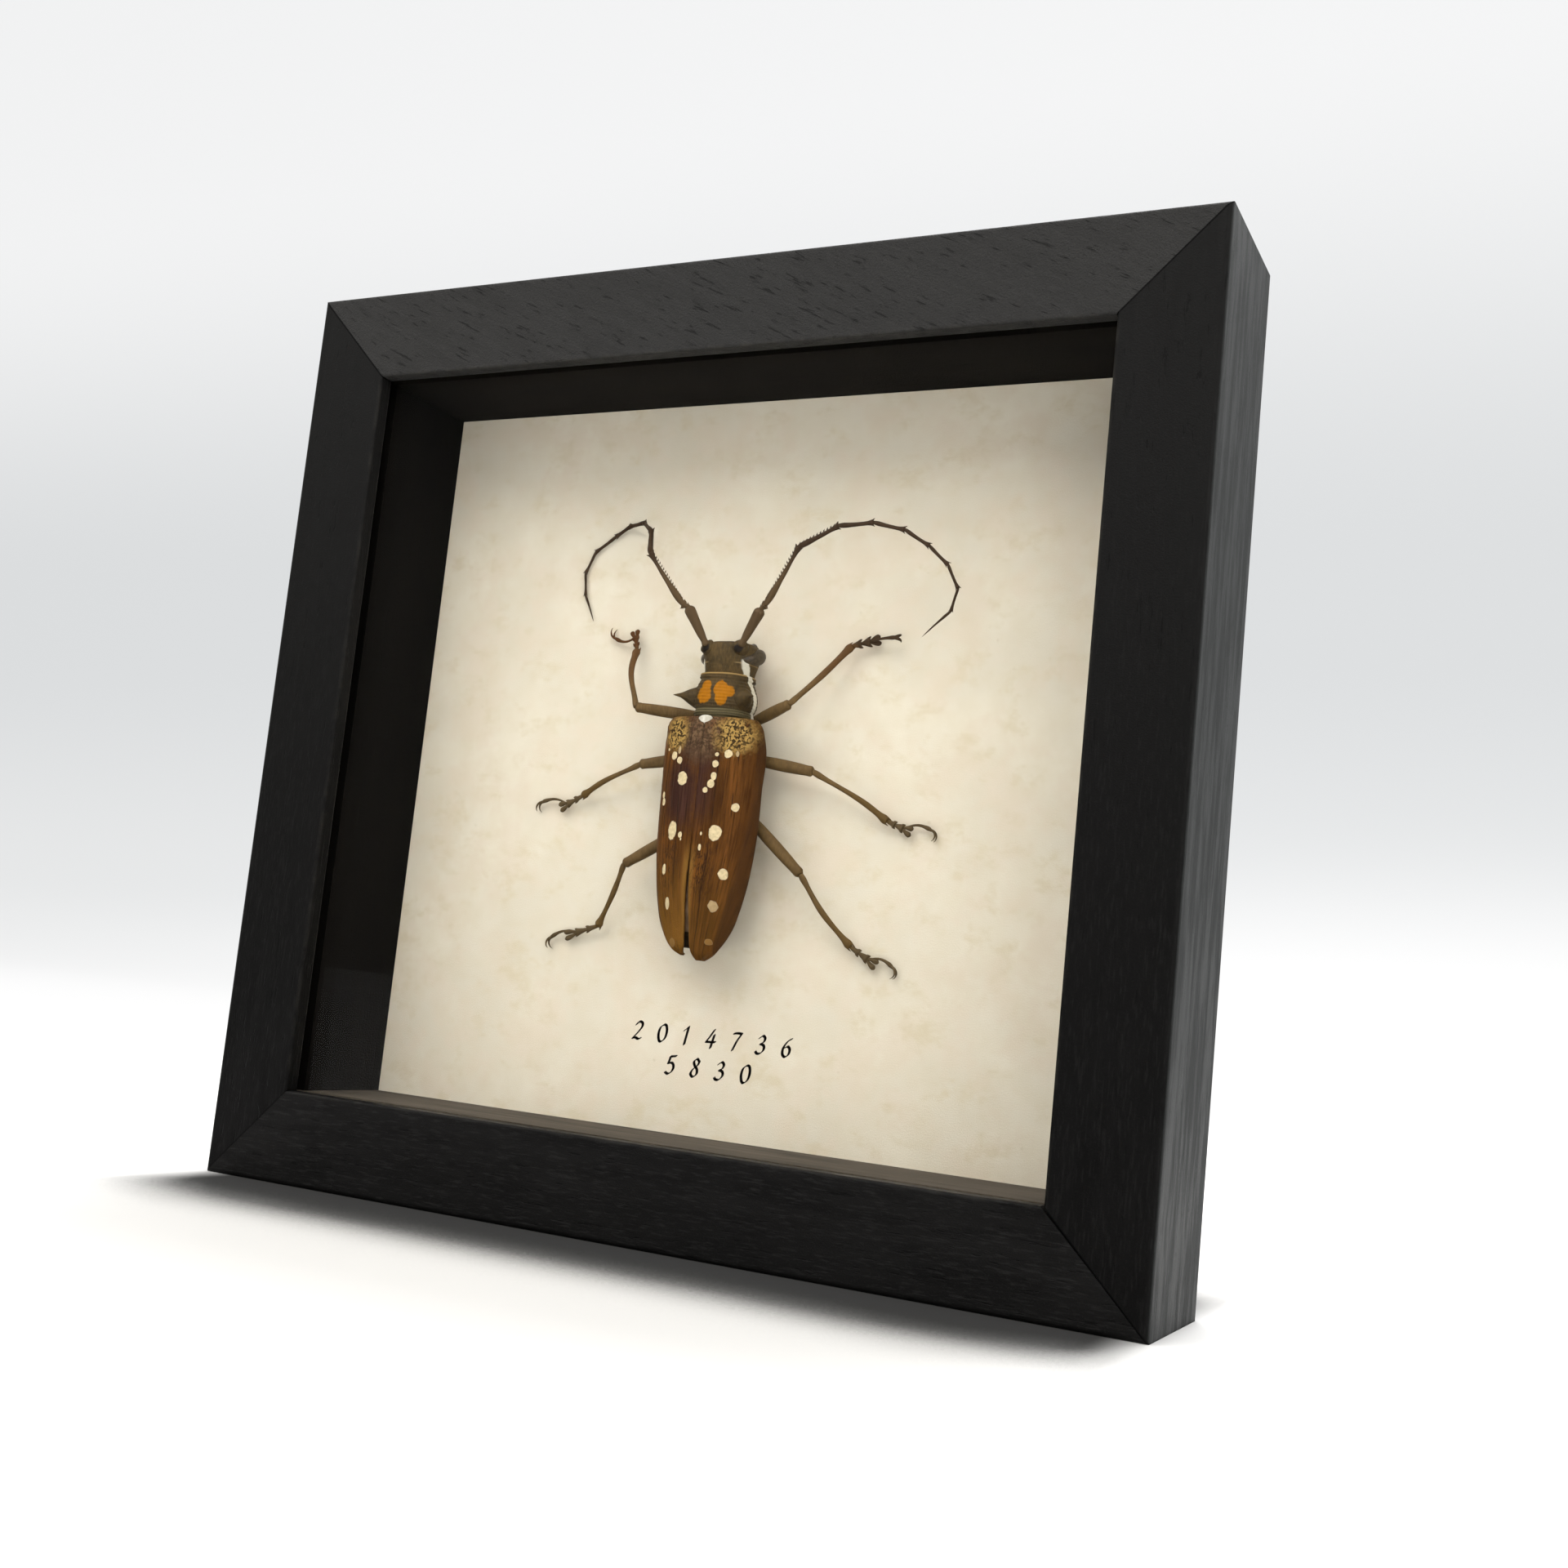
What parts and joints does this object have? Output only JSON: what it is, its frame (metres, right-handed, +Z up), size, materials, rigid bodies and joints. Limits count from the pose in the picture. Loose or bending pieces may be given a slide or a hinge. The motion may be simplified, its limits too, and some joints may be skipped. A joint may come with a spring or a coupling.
{
  "type": "framed beetle specimen",
  "caption": "Dried longhorn beetle set on cream paper in a deep black mitred wooden frame with glass, turn buttons and a ring hanger at the back.",
  "frame": {"origin": "centre of the bounding box at the frame's lower edge, where it stands", "axes": "+X to the viewer's right along the width, +Y from the glass to the back, +Z up"},
  "size_m": [0.17, 0.032, 0.162],
  "materials": {
    "stained_wood": "black-stained open grain, satin",
    "spacer_wood": "dark stained, matt",
    "picture_glass": "clear, polished",
    "mounting_paper": "cream, mottled, matt",
    "board": "brown, matt",
    "steel": "zinc plated, dull",
    "wing_case": "dried shell, brown with cream spots, satin",
    "dark_shell": "dried shell with short grey-brown hair",
    "limb_shell": "dried shell with short grey-brown hair",
    "antenna_shell": "dried shell, dark brown",
    "eye_shell": "near-black, glossy, faceted",
    "white_shield": "dense white hair, matt",
    "membrane": "thin folded membrane, dull",
    "glue": "clear amber, dried"
  },
  "bodies": {
    "case": {"rail_top": "stained_wood", "rail_bottom": "stained_wood", "rail_left": "stained_wood", "rail_right": "stained_wood", "corner_v_nails": "steel", "glass_pane": "picture_glass", "spacer_top": "spacer_wood", "spacer_bottom": "spacer_wood", "spacer_left": "spacer_wood", "spacer_right": "spacer_wood", "backing_paper": "mounting_paper", "backing_board": "board", "turn_button_screws": "steel", "hanger_plate": "steel", "hanger_screws": "steel", "pronotum": "dark_shell", "head": "dark_shell", "eyes": "eye_shell", "mandibles": "dark_shell", "scutellum": "white_shield", "elytron_left": "wing_case", "elytron_right": "wing_case", "thorax": "dark_shell", "abdomen": "dark_shell", "hind_wings": "membrane", "glue_dabs": "glue", "antenna_left": "antenna_shell", "antenna_right": "antenna_shell", "front_leg_left": "limb_shell", "front_leg_right": "limb_shell", "middle_leg_left": "limb_shell", "middle_leg_right": "limb_shell", "hind_leg_left": "limb_shell", "hind_leg_right": "limb_shell"},
    "turn_button_1": {"turn_button_1": "steel"},
    "turn_button_2": {"turn_button_2": "steel"},
    "turn_button_3": {"turn_button_3": "steel"},
    "turn_button_4": {"turn_button_4": "steel"},
    "hanger_ring": {"hanger_ring": "steel"}
  },
  "joints": [
    {"name": "turn_button_1_turn", "type": "hinge", "parent": "case", "child": "turn_button_1", "pos_m": [-0.0795, 0.01202, 0.123], "axis": [0, 1, 0], "continuous": true},
    {"name": "turn_button_2_turn", "type": "hinge", "parent": "case", "child": "turn_button_2", "pos_m": [0.0795, 0.01202, 0.123], "axis": [0, 1, 0], "continuous": true},
    {"name": "turn_button_3_turn", "type": "hinge", "parent": "case", "child": "turn_button_3", "pos_m": [-0.0795, 0.01202, 0.039], "axis": [0, 1, 0], "continuous": true},
    {"name": "turn_button_4_turn", "type": "hinge", "parent": "case", "child": "turn_button_4", "pos_m": [0.0795, 0.01202, 0.039], "axis": [0, 1, 0], "continuous": true},
    {"name": "hanger_ring_swing", "type": "hinge", "parent": "case", "child": "hanger_ring", "pos_m": [0, 0.01422, 0.1521], "axis": [1, 0, 0], "range_deg": [0, 180]}
  ]
}
